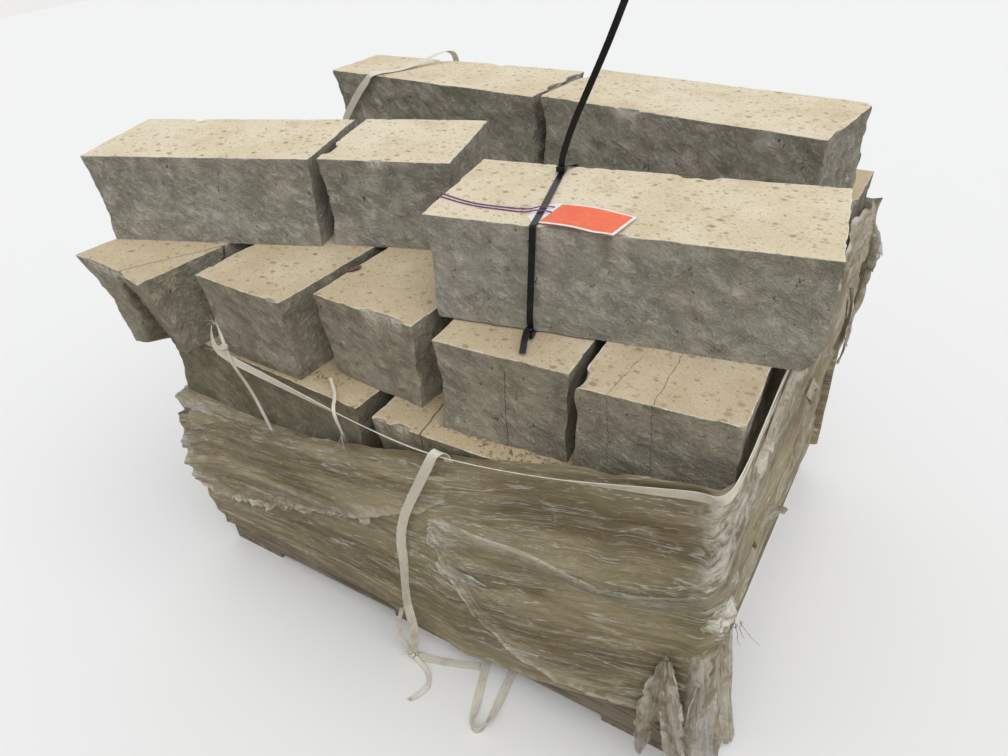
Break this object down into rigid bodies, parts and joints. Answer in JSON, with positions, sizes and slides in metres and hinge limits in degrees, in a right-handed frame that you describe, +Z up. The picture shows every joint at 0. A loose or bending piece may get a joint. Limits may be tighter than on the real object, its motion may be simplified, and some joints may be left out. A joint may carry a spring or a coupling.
{
  "type": "pallet of wall stone",
  "caption": "Wooden pallet stacked with courses of sawn-bed, split-face wall stone, held by stretch film and loose woven strap, with a tagged cable tie round one top stone.",
  "frame": {"origin": "middle of the pallet's underside, on the floor", "axes": "+X along the front to the right, +Y to the back, +Z up"},
  "size_m": [1.3107, 0.9906, 1.1208],
  "materials": {
    "limestone": "sawn beds with split faces",
    "pallet_wood": "rough sawn, weathered",
    "stretch_film": "dusty translucent stretch film",
    "woven_strap": "woven polyester cord strap",
    "black_nylon": "moulded nylon",
    "orange_tag": "coated tag paper",
    "purple_string": "twisted string"
  },
  "bodies": {
    "root": {"bottom_boards": "pallet_wood", "cable_tie_long": "black_nylon", "cable_tie_short": "black_nylon", "course_1_row_1_1": "limestone", "course_1_row_1_2": "limestone", "course_1_row_2_1": "limestone", "course_1_row_2_2": "limestone", "course_1_row_3_1": "limestone", "course_1_row_3_2": "limestone", "course_1_row_4_1": "limestone", "course_1_row_4_2": "limestone", "course_2_front_1": "limestone", "course_2_front_2": "limestone", "course_2_header_1": "limestone", "course_2_header_2": "limestone", "course_2_header_3": "limestone", "course_2_header_4": "limestone", "course_2_header_5": "limestone", "course_3_front_left": "limestone", "course_3_front_right": "limestone", "course_3_row_2_1": "limestone", "course_3_row_2_2": "limestone", "course_3_row_3_1": "limestone", "course_3_row_3_2": "limestone", "course_3_row_4_1": "limestone", "course_3_row_4_2": "limestone", "course_4_back_left": "limestone", "course_4_back_right": "limestone", "course_4_header_1": "limestone", "course_4_header_2": "limestone", "course_4_header_3": "limestone", "course_4_header_4": "limestone", "course_4_header_5": "limestone", "course_4_infill": "limestone", "deck_boards": "pallet_wood", "film_curtain": "stretch_film", "film_pale_strip": "stretch_film", "film_torn_tongue": "stretch_film", "strap_curl": "woven_strap", "strap_cut_end": "woven_strap", "strap_floor_knot": "woven_strap", "strap_frayed_tail": "woven_strap", "strap_front": "woven_strap", "strap_ground_loop": "woven_strap", "strap_hanging": "woven_strap", "strap_knot_tail": "woven_strap", "strap_over_stone": "woven_strap", "strap_small_loop": "woven_strap", "stretch_film": "stretch_film", "stringers": "pallet_wood", "tag": "orange_tag", "tag_string": "purple_string", "top_stone_back_left": "limestone", "top_stone_back_right": "limestone", "top_stone_front_left": "limestone", "top_stone_front_middle": "limestone", "top_stone_front_right": "limestone"}
  },
  "joints": []
}
